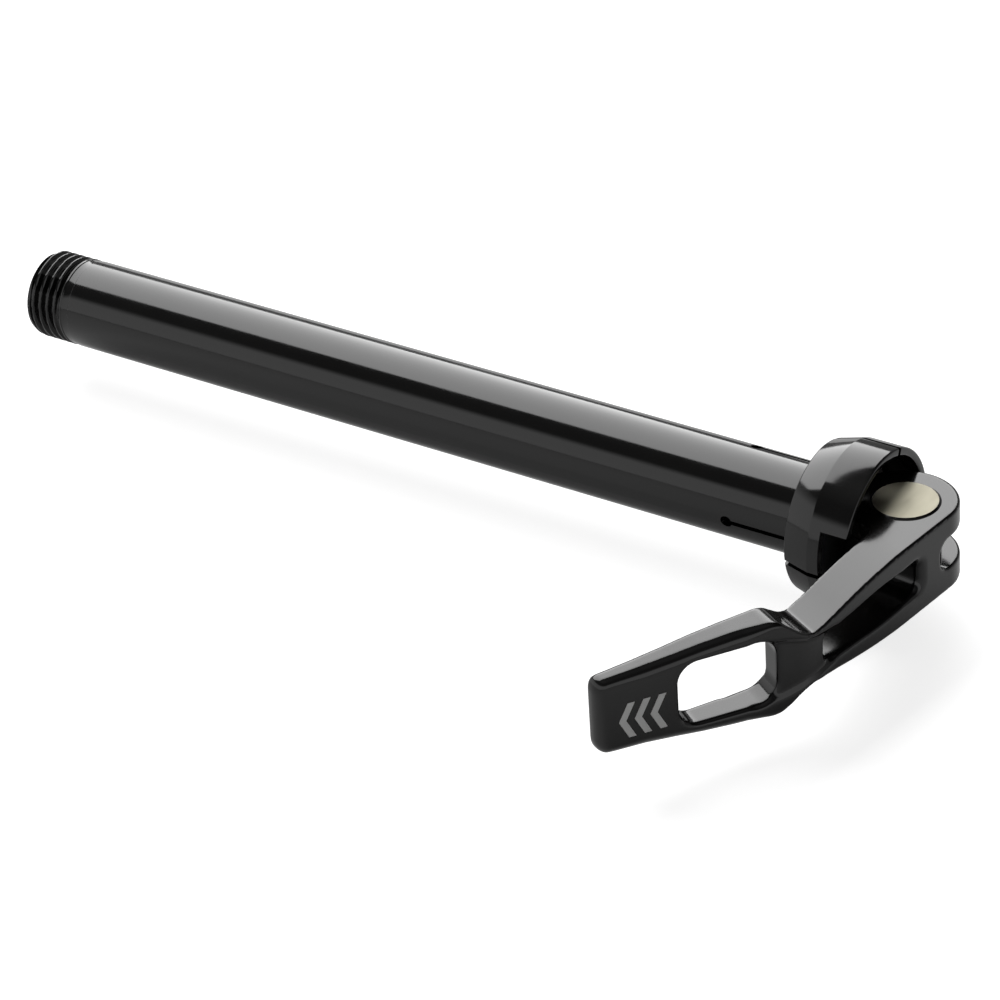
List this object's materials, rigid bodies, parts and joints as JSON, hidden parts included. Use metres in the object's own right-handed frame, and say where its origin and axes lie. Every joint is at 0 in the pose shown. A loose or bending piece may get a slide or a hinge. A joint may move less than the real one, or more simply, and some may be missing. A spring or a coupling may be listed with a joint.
{
  "type": "bicycle thru axle",
  "caption": "Hollow quick-release thru axle with a threaded end, a split expanding head and a cam lever with a finger-hole paddle, shown closed.",
  "frame": {"origin": "on the axle axis, at the shoulder face of the head that meets the fork's dropout", "axes": "+X along the axle from the threaded end to the lever, +Z along the lever's pivot axis, the closed lever points to -Y"},
  "size_m": [0.1742, 0.0767, 0.0268],
  "materials": {
    "black_anodised": "satin",
    "black_gloss": "gloss",
    "champagne_anodised": "satin",
    "zinc_steel": "satin",
    "black_polymer": "matte",
    "black_rubber": "matte"
  },
  "bodies": {
    "axle": {"axle_shaft": "black_anodised", "thrust_washer": "zinc_steel", "cam_washer": "black_polymer"},
    "drawbar": {"draw_bolt": "zinc_steel", "pivot_pin": "champagne_anodised", "expander_wedge": "zinc_steel", "wedge_o_ring": "black_rubber"},
    "lever": {"lever": "black_gloss"}
  },
  "joints": [
    {"name": "drawbar_slide", "type": "slide", "parent": "axle", "child": "drawbar", "axis": [1, 0, 0], "range_m": [-0.00145, 0]},
    {"name": "lever_hinge", "type": "hinge", "parent": "drawbar", "child": "lever", "pos_m": [0.01464, 0, 0], "axis": [0, 0, 1], "range_deg": [0, 145]}
  ],
  "couplings": [
    {"joint": "drawbar_slide", "follows": "lever_hinge", "m_per_rad": -0.00057296}
  ]
}
